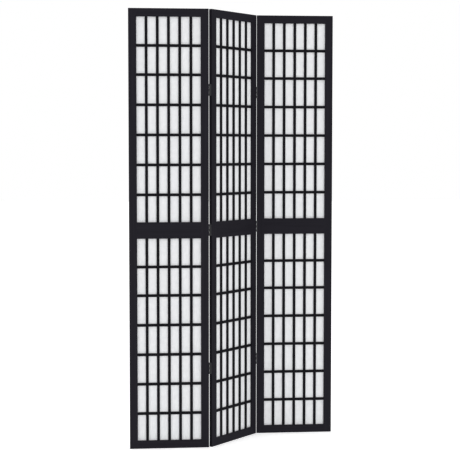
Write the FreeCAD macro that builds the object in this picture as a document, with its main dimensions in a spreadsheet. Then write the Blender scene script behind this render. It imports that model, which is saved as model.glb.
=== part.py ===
import FreeCAD, Part
import os
import re
import Sketcher
from FreeCAD import Vector

# A shoji folding screen of three panels that stand in a zigzag.
#
# The screen stands on Z = 0 with its origin under the centre of the middle panel's foot. +X runs along
# the two outer panels from left to right, which are parallel, and -Y is the lattice side, the front.
#
# Each panel is drawn flat in a frame of its own: x across the panel from its left edge, y through its
# thickness from its front face, z up from its foot. A box in that front view is a tuple of expressions
# (left, right, low, high), and a depth range (near, far) is measured from the front face.

# Every driving size in millimetres, with the fold in degrees. Each is one cell of the sheet.
SIZES = {
    "panel_height": 2200,
    "panel_width": 398,
    "panel_thickness": 16,
    "panel_gap": 2.4,
    "fold_angle": 49.6,
    "stile_width": 39,
    "top_rail_height": 40,
    "mid_rail_height": 81,
    "bottom_rail_height": 40,
    "rail_tenon_length": 20,
    "rail_tenon_thickness": 6,
    "rail_tenon_shoulder": 8,
    "lattice_columns": 6,
    "lattice_rows": 7,
    "upright_bar_width": 13,
    "cross_bar_height": 13,
    "bar_thickness": 6,
    "bar_tenon_length": 5,
    "bar_tenon_thickness": 3,
    "lattice_recess": 3,
    "short_row_cut": 5,
    "rebate_width": 5,
    "paper_thickness": 0.4,
    "paper_play": 0.5,
    "hinge_height": 57,
    "hinge_end_distance": 400,
    "leaf_thickness": 1.2,
    "leaf_cover": 13,
    "knuckle_count": 5,
    "knuckle_gap": 0.3,
    "barrel_clearance": 0.3,
    "pin_clearance": 0.05,
    "pin_head_lip": 0.5,
    "pin_head_height": 1.2,
    "screw_length": 16,
    "screw_shank_radius": 1.4,
    "screw_clearance": 0.05,
    "screw_spacing": 18,
    "pilot_spare_depth": 1,
    "cross_slot_length": 3,
    "cross_slot_width": 0.6,
    "cross_slot_depth": 0.7,
}

# Sizes that follow from the cells above.
SECTION_HEIGHT = "(panel_height - bottom_rail_height - mid_rail_height - top_rail_height) / 2"
CELL_WIDTH = "(panel_width - 2 * stile_width - (lattice_columns - 1) * upright_bar_width) / lattice_columns"
PAPER_DEPTH = "(lattice_recess + bar_thickness)"
BORE_RADIUS = "(panel_gap / 2)"
BARREL_RADIUS = "(panel_gap / 2 + leaf_thickness)"
PIN_RADIUS = "(panel_gap / 2 - pin_clearance)"
PIN_OFFSET = "(panel_gap / 2 + leaf_thickness + barrel_clearance)"
KNUCKLE_PITCH = "(hinge_height / knuckle_count)"
HEAD_RADIUS = "(screw_shank_radius + leaf_thickness)"

# The two lattice sections and the three rails of a panel, as (low, high).
SECTIONS = {
    "lower": ("bottom_rail_height", f"(bottom_rail_height + {SECTION_HEIGHT})"),
    "upper": (f"(panel_height - top_rail_height - {SECTION_HEIGHT})", "(panel_height - top_rail_height)"),
}
RAILS = {
    "bottom": ("0", SECTIONS["lower"][0]),
    "mid": (SECTIONS["lower"][1], SECTIONS["upper"][0]),
    "top": (SECTIONS["upper"][1], "panel_height"),
}
INNER_LEFT = "stile_width"
INNER_RIGHT = "(panel_width - stile_width)"

# The screen's two joints: which edge of which panel carries a hinge, and whether its pin lies in front
# of the panels or behind them. The middle panel's leaves carry the pins.
HINGED_EDGES = {
    ("left", "right"): "rear",
    ("middle", "left"): "rear",
    ("middle", "right"): "front",
    ("right", "left"): "front",
}
HINGE_HEIGHTS = {
    "bottom": "hinge_end_distance",
    "middle": "panel_height / 2",
    "top": "(panel_height - hinge_end_distance)",
}

document = FreeCAD.newDocument("ShojiScreen")
sheet = document.addObject("Spreadsheet::Sheet", "Sizes")
for row, (alias, size) in enumerate(SIZES.items(), start=1):
    sheet.set(f"A{row}", alias)
    sheet.set(f"B{row}", str(size))
    sheet.setAlias(f"B{row}", alias)
document.recompute()

ALIAS = re.compile(r"\b(" + "|".join(SIZES) + r")\b")
sub_parts = []
originals = {}


def in_cells(expression):
    """The expression with every size's name pointed at its cell."""
    return ALIAS.sub(r"Sizes.\1", expression)


def bind(thing, prop, expression):
    """Tie a property of a document object to an expression in the sheet's sizes."""
    thing.setExpression(prop, in_cells(expression))


def value(expression):
    """The number that an expression in the sheet's sizes has now."""
    return float(sheet.evalExpression(in_cells(expression)))


def count(alias):
    """A cell that holds a whole number of things."""
    return round(value(alias))


def shift(x, y, z):
    """A move, as a placement expression."""
    return f"placement(vector({x}; {y}; {z}); rotation(vector(0; 0; 1); 0))"


def turn(axis, angle):
    """A turn about an axis through the origin, as a placement expression."""
    return f"placement(vector(0; 0; 0); rotation(vector({axis}); {angle}))"


def new_body(label, place):
    """An empty body for one sub-part, put in the screen by a placement expression."""
    body = document.addObject("PartDesign::Body", label)
    body.Label = label
    bind(body, "Placement", place)
    sub_parts.append(body)
    return body


def add_repeated(kind, label, place, model, *details):
    """A sub-part that the screen has several times over: modelled once, then repeated at other places."""
    body = new_body(label, place)
    if kind in originals:
        body.BaseFeature = originals[kind]
    else:
        model(body, *details)
        originals[kind] = body


def new_sketch(body, name, role, offset):
    """A sketch on one of the body's own origin planes, moved along the plane's normal."""
    sketch = body.newObject("Sketcher::SketchObject", name)
    plane = next(feature for feature in body.Origin.OriginFeatures if feature.Role == role)
    sketch.AttachmentSupport = [(plane, "")]
    sketch.MapMode = "FlatFace"
    bind(sketch, "AttachmentOffset.Base.z", offset)
    return sketch


def hold(sketch, constraints, named):
    """Add a sketch's constraints, then tie each named one to its expression."""
    sketch.addConstraint(constraints)
    for index, name, expression in named:
        sketch.renameConstraint(index, name)
        bind(sketch, f"Constraints.{name}", expression)


def draw_boxes(sketch, boxes):
    """Draw upright rectangles, each (left, right, low, high), held by distances from the origin."""
    lines, constraints, named = [], [], []
    for number, box in enumerate(boxes):
        left, right, low, high = (value(side) for side in box)
        corners = [Vector(left, low, 0), Vector(right, low, 0), Vector(right, high, 0), Vector(left, high, 0)]
        first = len(lines)
        for corner in range(4):
            lines.append(Part.LineSegment(corners[corner], corners[(corner + 1) % 4]))
            following = first + (corner + 1) % 4
            constraints.append(Sketcher.Constraint("Coincident", first + corner, 2, following, 1))
            kind = "Horizontal" if corner % 2 == 0 else "Vertical"
            constraints.append(Sketcher.Constraint(kind, first + corner))
        held = (("left", "DistanceX", first, 1, left), ("low", "DistanceY", first, 1, low),
                ("right", "DistanceX", first + 1, 2, right), ("high", "DistanceY", first + 1, 2, high))
        for (side, kind, line, end, size), expression in zip(held, (box[0], box[2], box[1], box[3])):
            named.append((len(constraints), f"{side}_{number}", expression))
            constraints.append(Sketcher.Constraint(kind, -1, 1, line, end, size))
    sketch.addGeometry(lines, False)
    hold(sketch, constraints, named)


def draw_circles(sketch, centres, radius):
    """Draw circles of one radius, each centre as two expressions."""
    circles, constraints, named = [], [], []
    for number, centre in enumerate(centres):
        across, up = (value(side) for side in centre)
        circles.append(Part.Circle(Vector(across, up, 0), Vector(0, 0, 1), value(radius)))
        named.append((len(constraints), f"across_{number}", centre[0]))
        constraints.append(Sketcher.Constraint("DistanceX", -1, 1, number, 3, across))
        named.append((len(constraints), f"up_{number}", centre[1]))
        constraints.append(Sketcher.Constraint("DistanceY", -1, 1, number, 3, up))
        if number:
            constraints.append(Sketcher.Constraint("Equal", 0, number))
    named.append((len(constraints), "radius", radius))
    constraints.append(Sketcher.Constraint("Radius", 0, value(radius)))
    sketch.addGeometry(circles, False)
    hold(sketch, constraints, named)


def block(body, name, boxes, near, far):
    """Add wood, paper or metal: boxes of the front view, from depth near to depth far."""
    sketch = new_sketch(body, f"{name}_outline", "XZ_Plane", f"-({near})")
    draw_boxes(sketch, boxes)
    pad = body.newObject("PartDesign::Pad", name)
    pad.Profile = sketch
    pad.Reversed = True
    bind(pad, "Length", f"({far}) - ({near})")
    return pad


def recess(body, name, boxes, near, far):
    """Cut boxes of the front view away, from depth near to depth far."""
    sketch = new_sketch(body, f"{name}_outline", "XZ_Plane", f"-({near})")
    draw_boxes(sketch, boxes)
    pocket = body.newObject("PartDesign::Pocket", name)
    pocket.Profile = sketch
    bind(pocket, "Length", f"({far}) - ({near})")
    return pocket


def disc(body, name, radius, low, high):
    """Add a round disc or rod about the z axis."""
    sketch = new_sketch(body, f"{name}_outline", "XY_Plane", low)
    draw_circles(sketch, [("0", "0")], radius)
    pad = body.newObject("PartDesign::Pad", name)
    pad.Profile = sketch
    bind(pad, "Length", f"({high}) - ({low})")
    return pad


def from_edge(side, near, far):
    """Two distances in from a panel's outer edge, as (left, right) in the panel's frame."""
    if side == "left":
        return near, far
    return f"panel_width - ({far})", f"panel_width - ({near})"


def middle_of(thickness, near, far):
    """A depth range of one thickness, centred between two depths."""
    return (f"(({near}) + ({far}) - ({thickness})) / 2", f"(({near}) + ({far}) + ({thickness})) / 2")


FULL_DEPTH = ("0", "panel_thickness")
BAR_DEPTH = ("lattice_recess", PAPER_DEPTH)
RAIL_TENON_DEPTH = middle_of("rail_tenon_thickness", *FULL_DEPTH)
BAR_TENON_DEPTH = middle_of("bar_tenon_thickness", *BAR_DEPTH)
BAR_HALF_DEPTH = "(lattice_recess + bar_thickness / 2)"


def upright_lines():
    """Left and right edge of each upright bar, evenly spread between the stiles."""
    lines = []
    for column in range(1, count("lattice_columns")):
        left = f"(stile_width + {column} * {CELL_WIDTH} + {column - 1} * upright_bar_width)"
        lines.append((left, f"({left} + upright_bar_width)"))
    return lines


def cross_lines():
    """Low and high edge of each cross bar. The second and the last row of a section are a little short."""
    rows = count("lattice_rows")
    short_rows = {2, rows}
    cell = (f"({SECTION_HEIGHT} - (lattice_rows - 1) * cross_bar_height"
            f" + {len(short_rows)} * short_row_cut) / lattice_rows")
    lines = []
    for low, high in SECTIONS.values():
        for row in range(1, rows):
            short_above = sum(1 for short in short_rows if short <= row)
            top = (f"({high} - {row} * {cell} + {short_above} * short_row_cut"
                   f" - {row - 1} * cross_bar_height)")
            lines.append((f"({top} - cross_bar_height)", top))
    return lines


def rail_tenon(low, high):
    """Height range of a rail's tenon, in from both edges by its shoulder."""
    return f"{low} + rail_tenon_shoulder", f"{high} - rail_tenon_shoulder"


def leaf_depth(face):
    """Depth range of the edge that a leaf covers, from the face on the pin's side."""
    if face == "front":
        return "0", "leaf_cover"
    return "panel_thickness - leaf_cover", "panel_thickness"


def screw_places(face):
    """Depth and height of each hinge screw on one edge of a panel."""
    near, far = leaf_depth(face)
    depth = f"({near} + {far}) / 2"
    return [(depth, f"{height} + ({step}) * screw_spacing") for height in HINGE_HEIGHTS.values()
            for step in (-1, 0, 1)]


def model_stile(body, side, face):
    """An upright frame member: mortised for rails and bars, rebated for the paper, let in for hinges."""
    block(body, "timber", [from_edge(side, "0", "stile_width") + ("0", "panel_height")], *FULL_DEPTH)

    deep = from_edge(side, "stile_width - rail_tenon_length", "stile_width")
    recess(body, "rail_mortises", [deep + rail_tenon(*rail) for rail in RAILS.values()], *RAIL_TENON_DEPTH)

    shallow = from_edge(side, "stile_width - bar_tenon_length", "stile_width")
    recess(body, "bar_mortises", [shallow + line for line in cross_lines()], *BAR_TENON_DEPTH)

    ledge = from_edge(side, "stile_width - rebate_width", "stile_width")
    rebates = [ledge + (f"{low} - rebate_width", f"{high} + rebate_width") for low, high in SECTIONS.values()]
    recess(body, "paper_rebates", rebates, PAPER_DEPTH, "panel_thickness")

    if face is None:
        return
    let_in = from_edge(side, "0", "leaf_thickness")
    seats = [let_in + (f"{height} - hinge_height / 2", f"{height} + hinge_height / 2")
             for height in HINGE_HEIGHTS.values()]
    recess(body, "leaf_seats", seats, *leaf_depth(face))
    document.recompute()
    sketch = new_sketch(body, "pilot_outline", "YZ_Plane", "0" if side == "left" else "panel_width")
    draw_circles(sketch, screw_places(face), "screw_shank_radius")
    pilots = body.newObject("PartDesign::Hole", "pilot_holes")
    pilots.Profile = sketch
    pilots.DepthType = "Dimension"
    pilots.DrillPoint = "Flat"
    pilots.Reversed = side == "left"
    bind(pilots, "Diameter", "2 * (screw_shank_radius + screw_clearance)")
    bind(pilots, "Depth", "screw_length + pilot_spare_depth")


def model_rail(body, rail):
    """A cross member of the frame: tenoned at both ends, mortised for the upright bars, rebated behind."""
    low, high = RAILS[rail]
    block(body, "timber", [(INNER_LEFT, INNER_RIGHT, low, high)], *FULL_DEPTH)
    reach = (f"{INNER_LEFT} - rail_tenon_length", f"{INNER_RIGHT} + rail_tenon_length")
    block(body, "tenons", [reach + rail_tenon(low, high)], *RAIL_TENON_DEPTH)

    mortises, ledges = [], []
    if rail != "top":
        mortises += [line + (f"{high} - bar_tenon_length", high) for line in upright_lines()]
        ledges.append((INNER_LEFT, INNER_RIGHT, f"{high} - rebate_width", high))
    if rail != "bottom":
        mortises += [line + (low, f"{low} + bar_tenon_length") for line in upright_lines()]
        ledges.append((INNER_LEFT, INNER_RIGHT, low, f"{low} + rebate_width"))
    recess(body, "bar_mortises", mortises, *BAR_TENON_DEPTH)
    recess(body, "paper_rebates", ledges, PAPER_DEPTH, "panel_thickness")


def model_uprights(body):
    """The upright bars of both sections, halved behind where the cross bars pass."""
    bars = [line + section for line in upright_lines() for section in SECTIONS.values()]
    block(body, "bars", bars, *BAR_DEPTH)
    tenons = [(left, right, f"{low} - bar_tenon_length", f"{high} + bar_tenon_length")
              for left, right, low, high in bars]
    block(body, "tenons", tenons, *BAR_TENON_DEPTH)
    notches = [(INNER_LEFT, INNER_RIGHT) + line for line in cross_lines()]
    recess(body, "notches", notches, BAR_HALF_DEPTH, PAPER_DEPTH)


def model_crossbars(body):
    """The cross bars of both sections, halved in front where the upright bars pass."""
    block(body, "bars", [(INNER_LEFT, INNER_RIGHT) + line for line in cross_lines()], *BAR_DEPTH)
    reach = (f"{INNER_LEFT} - bar_tenon_length", f"{INNER_RIGHT} + bar_tenon_length")
    block(body, "tenons", [reach + line for line in cross_lines()], *BAR_TENON_DEPTH)
    notches = [line + (SECTIONS["lower"][0], SECTIONS["upper"][1]) for line in upright_lines()]
    recess(body, "notches", notches, "lattice_recess", BAR_HALF_DEPTH)


def model_paper(body, section):
    """One sheet of paper, glued to the backs of the bars and to the frame's ledge all round."""
    low, high = SECTIONS[section]
    margin = "rebate_width - paper_play"
    sheet_box = (f"{INNER_LEFT} - ({margin})", f"{INNER_RIGHT} + {margin}",
                 f"{low} - ({margin})", f"{high} + {margin}")
    block(body, "paper", [sheet_box], PAPER_DEPTH, f"{PAPER_DEPTH} + paper_thickness")


def hinge_place(panel, side, level):
    """Where a hinge leaf sits. Its own frame has z along the pin, x towards its panel, y into the edge."""
    face = HINGED_EDGES[(panel, side)]
    x = "-panel_gap / 2" if side == "left" else "panel_width + panel_gap / 2"
    y = f"-{PIN_OFFSET}" if face == "front" else f"panel_thickness + {PIN_OFFSET}"
    half_turn = {("left", "front"): ("0; 0; 1", "0"), ("right", "rear"): ("0; 0; 1", "180"),
                 ("left", "rear"): ("1; 0; 0", "180"), ("right", "front"): ("0; 1; 0", "180")}[(side, face)]
    return f"{panel}_panel_place.Placement * {shift(x, y, HINGE_HEIGHTS[level])} * {turn(*half_turn)}"


def model_leaf(body, first_knuckle):
    """One leaf: a plate let in flush, every other knuckle of the barrel, and countersunk screw holes."""
    plate = (BORE_RADIUS, BARREL_RADIUS)
    half = "hinge_height / 2"
    block(body, "plate", [plate + (f"-{half}", half)], PIN_OFFSET, f"{PIN_OFFSET} + leaf_cover")

    knuckle_low = f"(-{half} + {first_knuckle} * {KNUCKLE_PITCH} + knuckle_gap / 2)"
    knuckle_high = f"({knuckle_low} + {KNUCKLE_PITCH} - knuckle_gap)"
    neck = block(body, "neck", [plate + (knuckle_low, knuckle_high)], "0", PIN_OFFSET)
    barrel = disc(body, "barrel", BARREL_RADIUS, knuckle_low, knuckle_high)
    repeats = (count("knuckle_count") - first_knuckle - 1) // 2
    knuckles = body.newObject("PartDesign::LinearPattern", "knuckles")
    knuckles.Originals = [neck, barrel]
    axis = next(feature for feature in body.Origin.OriginFeatures if feature.Role == "Z_Axis")
    knuckles.Direction = (axis, [""])
    knuckles.Occurrences = repeats + 1
    bind(knuckles, "Length", f"{2 * repeats} * {KNUCKLE_PITCH}")
    body.Tip = knuckles

    sketch = new_sketch(body, "bore_outline", "XY_Plane", f"-{half}")
    draw_circles(sketch, [("0", "0")], BORE_RADIUS)
    bore = body.newObject("PartDesign::Pocket", "bore")
    bore.Profile = sketch
    bore.Reversed = True
    bind(bore, "Length", "hinge_height")
    document.recompute()

    sketch = new_sketch(body, "screw_outline", "YZ_Plane", BORE_RADIUS)
    centres = [(f"{PIN_OFFSET} + leaf_cover / 2", f"({step}) * screw_spacing") for step in (-1, 0, 1)]
    draw_circles(sketch, centres, "screw_shank_radius")
    holes = body.newObject("PartDesign::Hole", "screw_holes")
    holes.Profile = sketch
    holes.DepthType = "ThroughAll"
    holes.Reversed = True
    holes.HoleCutType = "Countersink"
    holes.HoleCutCustomValues = True
    holes.HoleCutCountersinkAngle = 90
    bind(holes, "Diameter", "2 * (screw_shank_radius + screw_clearance)")
    bind(holes, "HoleCutDiameter", f"2 * ({HEAD_RADIUS} + screw_clearance)")


def model_pin(body):
    """A hinge pin with a small head at each end, resting on the end knuckles."""
    end = "(hinge_height / 2 - knuckle_gap / 2)"
    tip = f"({end} + pin_head_height)"
    head_radius = f"({PIN_RADIUS} + pin_head_lip)"
    disc(body, "rod", PIN_RADIUS, f"-{end}", end)
    disc(body, "upper_head", head_radius, end, tip)
    disc(body, "lower_head", head_radius, f"-{tip}", f"-{end}")


def model_screws(body):
    """The nine countersunk screws of one panel edge, in its middle hinge's frame, with cross slots."""
    outer_hinge = "(panel_height / 2 - hinge_end_distance)"
    centres = [(f"{PIN_OFFSET} + leaf_cover / 2", f"{hinge} + ({step}) * screw_spacing")
               for hinge in (f"-{outer_hinge}", "0", outer_hinge) for step in (-1, 0, 1)]
    for name, radius, length in (("shanks", "screw_shank_radius", "screw_length"),
                                 ("heads", HEAD_RADIUS, "leaf_thickness")):
        sketch = new_sketch(body, f"{name}_outline", "YZ_Plane", BORE_RADIUS)
        draw_circles(sketch, centres, radius)
        pad = body.newObject("PartDesign::Pad", name)
        pad.Profile = sketch
        pad.TaperAngle = -45 if name == "heads" else 0
        bind(pad, "Length", length)
    for name, depth_size, height_size in (("slots_across", "cross_slot_length", "cross_slot_width"),
                                          ("slots_upright", "cross_slot_width", "cross_slot_length")):
        sketch = new_sketch(body, f"{name}_outline", "YZ_Plane", BORE_RADIUS)
        draw_boxes(sketch, [(f"{depth} - {depth_size} / 2", f"{depth} + {depth_size} / 2",
                             f"{height} - {height_size} / 2", f"{height} + {height_size} / 2")
                            for depth, height in centres])
        slots = body.newObject("PartDesign::Pocket", name)
        slots.Profile = sketch
        slots.Reversed = True
        bind(slots, "Length", "cross_slot_depth")


def add_panel(panel):
    """Every wooden and paper piece of one panel."""
    place = f"{panel}_panel_place.Placement"
    for side in ("left", "right"):
        stile = new_body(f"{panel}_panel_{side}_stile", place)
        model_stile(stile, side, HINGED_EDGES.get((panel, side)))
    for rail in RAILS:
        add_repeated(f"{rail}_rail", f"{panel}_panel_{rail}_rail", place, model_rail, rail)
    add_repeated("uprights", f"{panel}_panel_lattice_uprights", place, model_uprights)
    add_repeated("crossbars", f"{panel}_panel_lattice_crossbars", place, model_crossbars)
    for section in SECTIONS:
        add_repeated(f"{section}_paper", f"{panel}_panel_{section}_paper", place, model_paper, section)


def add_joint(joint, outer_side, middle_side):
    """Three hinges between an outer panel and the middle one, with their screws."""
    for level in HINGE_HEIGHTS:
        outer_place = hinge_place(joint, outer_side, level)
        middle_place = hinge_place("middle", middle_side, level)
        name = f"{joint}_joint_{level}_hinge"
        add_repeated("outer_leaf", f"{name}_outer_leaf", outer_place, model_leaf, 1)
        add_repeated("middle_leaf", f"{name}_middle_leaf", middle_place, model_leaf, 0)
        add_repeated("pin", f"{name}_pin", middle_place, model_pin)
    for panel, side in ((joint, outer_side), ("middle", middle_side)):
        place = hinge_place(panel, side, "middle")
        add_repeated("screws", f"{joint}_joint_{panel}_panel_screws", place, model_screws)


def add_places():
    """The three panels' places: the middle one turned by the fold, each outer one folded back on its pins."""
    middle = f"{turn('0; 0; 1', 'fold_angle')} * {shift('-panel_width / 2', '-panel_thickness / 2', '0')}"
    rear = f"panel_thickness + {PIN_OFFSET}"
    front = f"-{PIN_OFFSET}"
    beyond = "panel_width + panel_gap / 2"
    before = "-panel_gap / 2"
    fold_back = turn("0; 0; 1", "-fold_angle")
    seat = "middle_panel_place.Placement"
    left = f"{seat} * {shift(before, rear, '0')} * {fold_back} * {shift(f'-({beyond})', f'-({rear})', '0')}"
    right = f"{seat} * {shift(beyond, front, '0')} * {fold_back} * {shift(f'-({before})', f'-({front})', '0')}"
    for panel, expression in (("middle", middle), ("left", left), ("right", right)):
        place = document.addObject("App::Placement", f"{panel}_panel_place")
        bind(place, "Placement", expression)


def check_document():
    """Stop if any object failed, a cut took nothing away, or a sub-part has no valid solid."""
    for thing in document.Objects:
        if "Invalid" in thing.State or "Error" in thing.State:
            raise RuntimeError(f"{thing.Label} failed: {thing.State}")
        if thing.TypeId in ("PartDesign::Pocket", "PartDesign::Hole"):
            if thing.Shape.Volume >= thing.BaseFeature.Shape.Volume:
                raise RuntimeError(f"{thing.Label} cut nothing")
    for body in sub_parts:
        if body.Shape.isNull() or not body.Shape.isValid() or not body.Shape.Solids:
            raise RuntimeError(f"{body.Label} has no valid solid")


add_places()
for panel_name in ("left", "middle", "right"):
    add_panel(panel_name)
add_joint("left", "right", "left")
add_joint("right", "left", "right")
document.recompute()
check_document()

os.makedirs("parts", exist_ok=True)
for body in sub_parts:
    body.Shape.exportStep(os.path.join("parts", f"{body.Label}.step"))
    print(f"{body.Label}: {len(body.Shape.Solids)} solid(s), {body.Shape.Volume:.0f} mm3")
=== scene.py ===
import math
import bpy
import numpy as np
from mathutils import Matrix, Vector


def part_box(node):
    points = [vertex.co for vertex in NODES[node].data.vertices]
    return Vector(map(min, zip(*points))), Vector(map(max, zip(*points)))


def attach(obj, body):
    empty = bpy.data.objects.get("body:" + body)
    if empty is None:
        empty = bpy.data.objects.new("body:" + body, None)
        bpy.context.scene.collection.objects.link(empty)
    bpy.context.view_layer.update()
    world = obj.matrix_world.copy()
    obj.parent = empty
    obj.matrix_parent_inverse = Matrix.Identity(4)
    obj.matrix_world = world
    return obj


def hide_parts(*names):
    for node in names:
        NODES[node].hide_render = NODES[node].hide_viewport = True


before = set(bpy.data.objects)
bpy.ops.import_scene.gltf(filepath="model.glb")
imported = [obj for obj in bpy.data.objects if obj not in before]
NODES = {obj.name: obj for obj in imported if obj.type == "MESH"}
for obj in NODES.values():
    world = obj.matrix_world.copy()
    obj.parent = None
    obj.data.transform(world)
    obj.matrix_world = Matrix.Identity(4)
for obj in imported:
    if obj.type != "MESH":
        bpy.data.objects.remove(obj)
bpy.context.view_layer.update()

# A shoji folding screen: black stained frames and bars, white fibrous paper, black butt hinges.
PANELS = ("left", "middle", "right")
FOLD = math.radians(49.6)

# How much the grain is drawn out along a member that stands or lies.
ALONG_Z = (1, 1, 0.03)
ALONG_X = (0.03, 1, 1)

# Two tones of each colour. The bars' tones are a share as light as the frame's, darkened as painted shade
# on the recessed bars.
STAIN_DARK = (0.0265, 0.0247, 0.0330)
STAIN_LIGHT = (0.0340, 0.0315, 0.0415)
BAR_SHADE_SHARE = 0.5
PULP_DARK = (0.725, 0.732, 0.745)
PULP_LIGHT = (0.755, 0.762, 0.775)
FIBRE_WHITE = (0.82, 0.825, 0.83, 1)
PAINT_DARK = (0.125, 0.125, 0.132)
PAINT_LIGHT = (0.165, 0.165, 0.172)
FLOOR_GREY = (0.80, 0.80, 0.80)

# The panel's measures, in metres, as in the solids. Rows are counted from the bottom of a section.
PANEL_WIDTH = 0.398
PANEL_THICKNESS = 0.016
STILE = 0.039
BAR = 0.013
COLUMNS = 6
CELL_WIDTH = 0.0425
ROWS = 7
SHORT_ROWS = (0, 5)
SHORT_ROW_CUT = 0.005
SECTION_HEIGHT = 1.0195
ROW = (SECTION_HEIGHT - (ROWS - 1) * BAR + len(SHORT_ROWS) * SHORT_ROW_CUT) / ROWS
PAPER_DEPTH = 0.009
PAPER_THICKNESS = 0.0004
SHEET_MARGIN = 0.0045

# How far the paper hangs slack over a cell, and how finely its grid follows that.
SLACK_LEAST = 0.00004
SLACK_MOST = 0.00022
STEPS_ACROSS = 8
STEPS_UP = 14

# How much of a sharp edge is sanded off.
FRAME_EASE = 0.0008
BAR_EASE = 0.0004

# The photograph's view: place in metres, angles down and to the right in degrees, focal length in mm.
EYE = (-0.660, -6.807, 1.518)
LOOK_DOWN = 3.580
LOOK_RIGHT = 5.395
LENS = 104.34


# ---------------------------------------------------------------- materials

def new_material(name):
    """A material with one Principled shader. Returns its node tree and that shader."""
    material = bpy.data.materials.new(name)
    material.use_nodes = True
    tree = material.node_tree
    return material, tree, tree.nodes["Principled BSDF"]


def add_node(tree, kind, inputs=(), **settings):
    """Add a node, set its properties, and fill or link the inputs given as (socket, value) pairs."""
    node = tree.nodes.new(kind)
    for name, setting in settings.items():
        setattr(node, name, setting)
    for socket, content in inputs:
        if isinstance(content, bpy.types.NodeSocket):
            tree.links.new(content, node.inputs[socket])
        else:
            node.inputs[socket].default_value = content
    return node


def add_ramp(tree, factor, stops):
    """A colour ramp over a factor. Each stop is (position, grey or colour)."""
    ramp = add_node(tree, "ShaderNodeValToRGB", [("Fac", factor)])
    elements = ramp.color_ramp.elements
    while len(elements) < len(stops):
        elements.new(0.5)
    for element, (position, colour) in zip(elements, stops):
        element.position = position
        element.color = (*colour, 1) if isinstance(colour, tuple) else (colour, colour, colour, 1)
    return ramp.outputs["Color"]


def make_stained_wood(name, turn, stretch, share):
    """Near-black satin stain on fine-grained wood. The coordinates are turned about Z, then stretched
    along the grain, so that pores and figure run the length of the member. The two tones are taken at
    a share of their lightness; a share below one darkens them as painted shade."""
    material, tree, shader = new_material(name)
    place = add_node(tree, "ShaderNodeTexCoord").outputs["Object"]
    turned = add_node(tree, "ShaderNodeMapping", [("Vector", place), ("Rotation", (0, 0, turn))])
    grain = add_node(tree, "ShaderNodeMapping", [("Vector", turned.outputs[0]), ("Scale", stretch)])
    along = grain.outputs[0]

    figure = add_node(tree, "ShaderNodeTexNoise", [("Vector", along), ("Scale", 90), ("Detail", 4),
                                                   ("Roughness", 0.6), ("Distortion", 0.6)])
    pores = add_node(tree, "ShaderNodeTexNoise",
                     [("Vector", along), ("Scale", 700), ("Detail", 3), ("Roughness", 0.7)])
    dark, light = (tuple(share * part for part in tone) for tone in (STAIN_DARK, STAIN_LIGHT))
    colour = add_ramp(tree, figure.outputs["Fac"], [(0.30, dark), (0.70, light)])
    tree.links.new(colour, shader.inputs["Base Color"])

    gloss = add_node(tree, "ShaderNodeMapRange", [("Value", pores.outputs["Fac"]), ("From Min", 0.3),
                                                  ("From Max", 0.7), ("To Min", 0.50), ("To Max", 0.66)])
    tree.links.new(gloss.outputs[0], shader.inputs["Roughness"])
    shader.inputs["Specular IOR Level"].default_value = 0.15

    open_pores = add_ramp(tree, pores.outputs["Fac"], [(0.34, 0.0), (0.46, 1.0)])
    relief = add_node(tree, "ShaderNodeBump",
                      [("Height", open_pores), ("Strength", 0.35), ("Distance", 0.0002)])
    waves = add_node(tree, "ShaderNodeBump", [("Height", figure.outputs["Fac"]), ("Strength", 0.15),
                                              ("Distance", 0.0006), ("Normal", relief.outputs[0])])
    tree.links.new(waves.outputs[0], shader.inputs["Normal"])
    return material


def make_paper():
    """White shoji paper: soft clouds of thickness, long curled fibres, and light passing through."""
    material, tree, shader = new_material("shoji_paper")
    place = add_node(tree, "ShaderNodeTexCoord").outputs["Object"]
    clouds = add_node(tree, "ShaderNodeTexNoise",
                      [("Vector", place), ("Scale", 45), ("Detail", 3), ("Roughness", 0.55)])
    drift = add_node(tree, "ShaderNodeTexNoise", [("Vector", place), ("Scale", 130), ("Detail", 2)])
    bent = add_node(tree, "ShaderNodeMixRGB", [("Fac", 0.06), ("Color1", place),
                                               ("Color2", drift.outputs["Color"])], blend_type="ADD")
    strands = add_node(tree, "ShaderNodeTexVoronoi", [("Vector", bent.outputs[0]), ("Scale", 75)],
                       feature="DISTANCE_TO_EDGE")
    fibres = add_ramp(tree, strands.outputs["Distance"], [(0.0, 1.0), (0.035, 0.0)])
    thin = add_ramp(tree, clouds.outputs["Fac"], [(0.45, 0.0), (0.62, 1.0)])
    fibre_mask = add_node(tree, "ShaderNodeMixRGB", [("Fac", 1.0), ("Color1", fibres), ("Color2", thin)],
                          blend_type="MULTIPLY").outputs[0]

    pulp = add_ramp(tree, clouds.outputs["Fac"], [(0.30, PULP_DARK), (0.70, PULP_LIGHT)])
    colour = add_node(tree, "ShaderNodeMixRGB", [("Fac", fibre_mask), ("Color1", pulp),
                                                 ("Color2", FIBRE_WHITE)])
    tree.links.new(colour.outputs[0], shader.inputs["Base Color"])
    shader.inputs["Roughness"].default_value = 0.85
    shader.inputs["Specular IOR Level"].default_value = 0.2
    shader.inputs["Subsurface Weight"].default_value = 0.5
    shader.inputs["Subsurface Radius"].default_value = (1.0, 1.0, 1.0)
    shader.inputs["Subsurface Scale"].default_value = 0.0015

    relief = add_node(tree, "ShaderNodeBump",
                      [("Height", fibre_mask), ("Strength", 0.25), ("Distance", 0.0001)])
    tree.links.new(relief.outputs[0], shader.inputs["Normal"])
    return material


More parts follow.
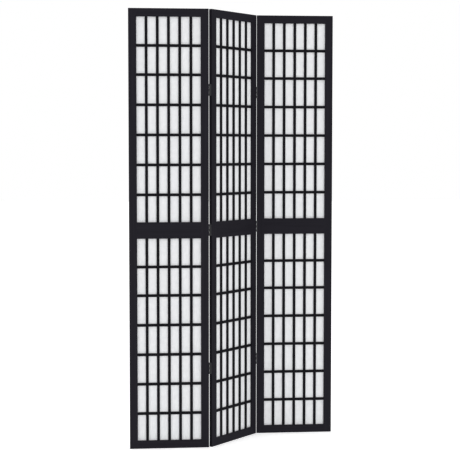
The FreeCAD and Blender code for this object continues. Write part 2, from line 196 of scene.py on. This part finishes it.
def make_black_metal(name, roughness, specks):
    """Satin black paint on steel, a little greyed by wear, with a fine orange-peel that also varies its
    gloss. Specks is the scale of the peel."""
    material, tree, shader = new_material(name)
    place = add_node(tree, "ShaderNodeTexCoord").outputs["Object"]
    peel = add_node(tree, "ShaderNodeTexNoise",
                    [("Vector", place), ("Scale", specks), ("Detail", 2), ("Roughness", 0.5)])
    colour = add_ramp(tree, peel.outputs["Fac"], [(0.35, PAINT_DARK), (0.75, PAINT_LIGHT)])
    tree.links.new(colour, shader.inputs["Base Color"])
    gloss = add_node(tree, "ShaderNodeMapRange", [("Value", peel.outputs["Fac"]), ("From Min", 0.3),
                                                  ("From Max", 0.7), ("To Min", roughness - 0.05),
                                                  ("To Max", roughness + 0.08)])
    tree.links.new(gloss.outputs[0], shader.inputs["Roughness"])
    shader.inputs["Metallic"].default_value = 0.10
    shader.inputs["Specular IOR Level"].default_value = 0.25
    relief = add_node(tree, "ShaderNodeBump",
                      [("Height", peel.outputs["Fac"]), ("Strength", 0.2), ("Distance", 0.00005)])
    tree.links.new(relief.outputs[0], shader.inputs["Normal"])
    return material


def make_plain(name, colour, roughness, glow):
    """A plain matt surface for the floor, lit a little from within as a studio light table is."""
    material, _, shader = new_material(name)
    shader.inputs["Base Color"].default_value = (*colour, 1)
    shader.inputs["Roughness"].default_value = roughness
    shader.inputs["Emission Color"].default_value = (1, 1, 1, 1)
    shader.inputs["Emission Strength"].default_value = glow
    return material


def dress(node, material):
    """Give a whole node one material."""
    for slot in NODES[node].material_slots:
        slot.material = material


def ease_edges(node, width):
    """Round a wooden member's sharp edges a little, as sanding before the stain does."""
    piece = NODES[node]
    weld = piece.modifiers.new("weld", "WELD")
    weld.merge_threshold = 0.00001
    flat = piece.modifiers.new("flat_faces", "DECIMATE")
    flat.decimate_type = "DISSOLVE"
    flat.angle_limit = math.radians(0.5)
    bevel = piece.modifiers.new("eased_edges", "BEVEL")
    bevel.width = width
    bevel.segments = 2
    bevel.limit_method = "ANGLE"
    bevel.angle_limit = math.radians(40)
    bevel.use_clamp_overlap = True
    bevel.harden_normals = True


# ---------------------------------------------------------------- paper sheets

def panel_to_room(panel, across, depth):
    """Points given across and into a panel, from its front left edge, as x and y in the room."""
    if panel == "middle":
        turn = FOLD
        across = across - PANEL_WIDTH / 2
        depth = depth - PANEL_THICKNESS / 2
        corner = (0, 0)
    else:
        turn = 0
        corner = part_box(f"{panel}_panel_left_stile")[0]
    x = corner[0] + across * math.cos(turn) - depth * math.sin(turn)
    y = corner[1] + across * math.sin(turn) + depth * math.cos(turn)
    return x, y


def cell_lines(edges, steps):
    """Grid lines over a row of cells. Each cell is cut into equal steps. Also gives, for each line, the
    cell's number and the share of the way through it, which is 0 on the bars and the frame."""
    places = [edges[0][0] - SHEET_MARGIN]
    cells = [0]
    shares = [0.0]
    for number, (start, stop) in enumerate(edges):
        share = np.linspace(0, 1, steps + 1)
        places.extend(start + (stop - start) * share)
        cells.extend([number] * (steps + 1))
        shares.extend(share)
    places.append(edges[-1][1] + SHEET_MARGIN)
    cells.append(len(edges) - 1)
    shares.append(0.0)
    return np.array(places), np.array(cells), np.array(shares)


def add_paper(panel, section, material):
    """One sheet of paper as a grid. The depth over each cell is a pillow: slack, times the sine of the way
    across the cell, times the sine of the way up it. It is nought on the bars, where the sheet is glued.
    The back is the same surface a sheet's thickness deeper, and a strip around the edge joins the two."""
    node = f"{panel}_panel_{section}_paper"
    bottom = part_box(node)[0].z + SHEET_MARGIN
    columns = []
    for number in range(COLUMNS):
        left = STILE + number * (CELL_WIDTH + BAR)
        columns.append((left, left + CELL_WIDTH))
    rows = []
    for number in range(ROWS):
        height = ROW - SHORT_ROW_CUT if number in SHORT_ROWS else ROW
        rows.append((bottom, bottom + height))
        bottom += height + BAR
    across, column, across_share = cell_lines(columns, STEPS_ACROSS)
    up, row, up_share = cell_lines(rows, STEPS_UP)
    seed = 10 * PANELS.index(panel) + (section == "upper")
    slack = np.random.default_rng(seed).uniform(SLACK_LEAST, SLACK_MOST, (len(rows), len(columns)))
    pillow = np.outer(np.sin(np.pi * up_share), np.sin(np.pi * across_share)) * slack[np.ix_(row, column)]

    wide, high = len(across), len(up)
    sides = []
    for depth in (PAPER_DEPTH, PAPER_DEPTH + PAPER_THICKNESS):
        x, y = panel_to_room(panel, across[None, :], depth + pillow)
        z = np.broadcast_to(up[:, None], (high, wide))
        sides.append(np.stack([x, y, z], axis=-1).reshape(-1, 3))
    point = np.arange(high * wide).reshape(high, wide)
    quads = np.stack([point[:-1, :-1], point[:-1, 1:], point[1:, 1:], point[1:, :-1]], axis=-1)
    quads = quads.reshape(-1, 4)
    rim = np.concatenate([point[0, :-1], point[:-1, -1], point[-1, :0:-1], point[:0:-1, 0]])
    after = np.roll(rim, -1)
    strip = np.stack([rim, rim + high * wide, after + high * wide, after], axis=-1)
    faces = np.concatenate([quads, quads[:, ::-1] + high * wide, strip])

    mesh = bpy.data.meshes.new(f"{panel}_{section}_sheet")
    mesh.from_pydata(np.concatenate(sides).tolist(), [], faces.tolist())
    mesh.polygons.foreach_set("use_smooth", np.ones(len(faces), bool))
    mesh.set_sharp_from_angle(angle=math.radians(30))
    mesh.materials.append(material)
    sheet = bpy.data.objects.new(f"{panel}_{section}_sheet", mesh)
    bpy.context.collection.objects.link(sheet)
    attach(sheet, f"{panel}_panel")
    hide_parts(node)


# ---------------------------------------------------------------- dressing

# The middle panel's lying members run at the fold, so their grain is turned back by it.
TURNS = {"left": 0, "middle": -FOLD, "right": 0}
upright_wood = make_stained_wood("stained_wood_upright", 0, ALONG_Z, 1)
level_wood = {panel: make_stained_wood(f"stained_wood_level_{panel}", turn, ALONG_X, 1)
              for panel, turn in TURNS.items()}
# The bars' materials take the frame's tones at a share, made darker as painted shade on the recessed bars.
shaded_upright_bar_wood = make_stained_wood("stained_bar_painted_shade_upright", 0, ALONG_Z, BAR_SHADE_SHARE)
shaded_level_bar_wood = {panel: make_stained_wood(f"stained_bar_painted_shade_level_{panel}", turn, ALONG_X, BAR_SHADE_SHARE)
                  for panel, turn in TURNS.items()}
paper = make_paper()
hinge_black = make_black_metal("hinge_black", 0.50, 900)
screw_black = make_black_metal("screw_black", 0.42, 1500)

for panel in PANELS:
    for upright in ("left_stile", "right_stile"):
        dress(f"{panel}_panel_{upright}", upright_wood)
    for level in ("top_rail", "mid_rail", "bottom_rail"):
        dress(f"{panel}_panel_{level}", level_wood[panel])
    dress(f"{panel}_panel_lattice_uprights", shaded_upright_bar_wood)
    dress(f"{panel}_panel_lattice_crossbars", shaded_level_bar_wood[panel])
    for member in ("left_stile", "right_stile", "top_rail", "mid_rail", "bottom_rail"):
        ease_edges(f"{panel}_panel_{member}", FRAME_EASE)
    for bars in ("lattice_uprights", "lattice_crossbars"):
        ease_edges(f"{panel}_panel_{bars}", BAR_EASE)
    for section in ("lower", "upper"):
        add_paper(panel, section, paper)
for name in NODES:
    if name.endswith(("_leaf", "_pin")):
        dress(name, hinge_black)
    elif name.endswith("_screws"):
        dress(name, screw_black)


# ---------------------------------------------------------------- floor, light and camera

def add_floor():
    """A wide, plain, pale studio floor."""
    half = 30
    mesh = bpy.data.meshes.new("floor")
    corners = [(-half, -half, 0), (half, -half, 0), (half, half, 0), (-half, half, 0)]
    mesh.from_pydata(corners, [], [(0, 1, 2, 3)])
    floor = bpy.data.objects.new("floor", mesh)
    bpy.context.collection.objects.link(floor)
    mesh.materials.append(make_plain("pale_floor", FLOOR_GREY, 0.7, 0.52))


def add_key_light():
    """A very large, distant softbox, high at the front left, so that all the panels get the same light."""
    data = bpy.data.lights.new("key", "SUN")
    data.energy = 0.40
    data.angle = math.radians(50)
    light = bpy.data.objects.new("key", data)
    light.rotation_euler = (math.radians(60), 0, math.radians(12))
    bpy.context.collection.objects.link(light)


def add_surround():
    """An even white studio. It lights the screen a little less than it shines into the lens."""
    world = bpy.data.worlds.new("studio")
    world.use_nodes = True
    tree = world.node_tree
    seen = add_node(tree, "ShaderNodeLightPath").outputs["Is Camera Ray"]
    strength = add_node(tree, "ShaderNodeMapRange", [("Value", seen), ("To Min", 0.82), ("To Max", 1.0)])
    background = tree.nodes["Background"]
    background.inputs["Color"].default_value = (1, 1, 1, 1)
    tree.links.new(strength.outputs[0], background.inputs["Strength"])
    bpy.context.scene.world = world


def add_camera():
    """The photograph's view: at eye height, left of the screen's middle, with a long lens."""
    data = bpy.data.cameras.new("camera")
    data.lens = LENS
    data.sensor_width = 36
    data.clip_end = 100
    camera = bpy.data.objects.new("camera", data)
    camera.location = EYE
    camera.rotation_euler = (math.radians(90 - LOOK_DOWN), 0, math.radians(-LOOK_RIGHT))
    bpy.context.collection.objects.link(camera)
    bpy.context.scene.camera = camera


add_floor()
add_surround()
add_key_light()
add_camera()

# The photograph was made smaller without going to linear light, which gives thin dark bars more weight
# against the paper. This gamma does the same here, and the colours above are lighter to suit it.
bpy.context.scene.view_settings.view_transform = "Standard"
bpy.context.scene.view_settings.gamma = 0.75
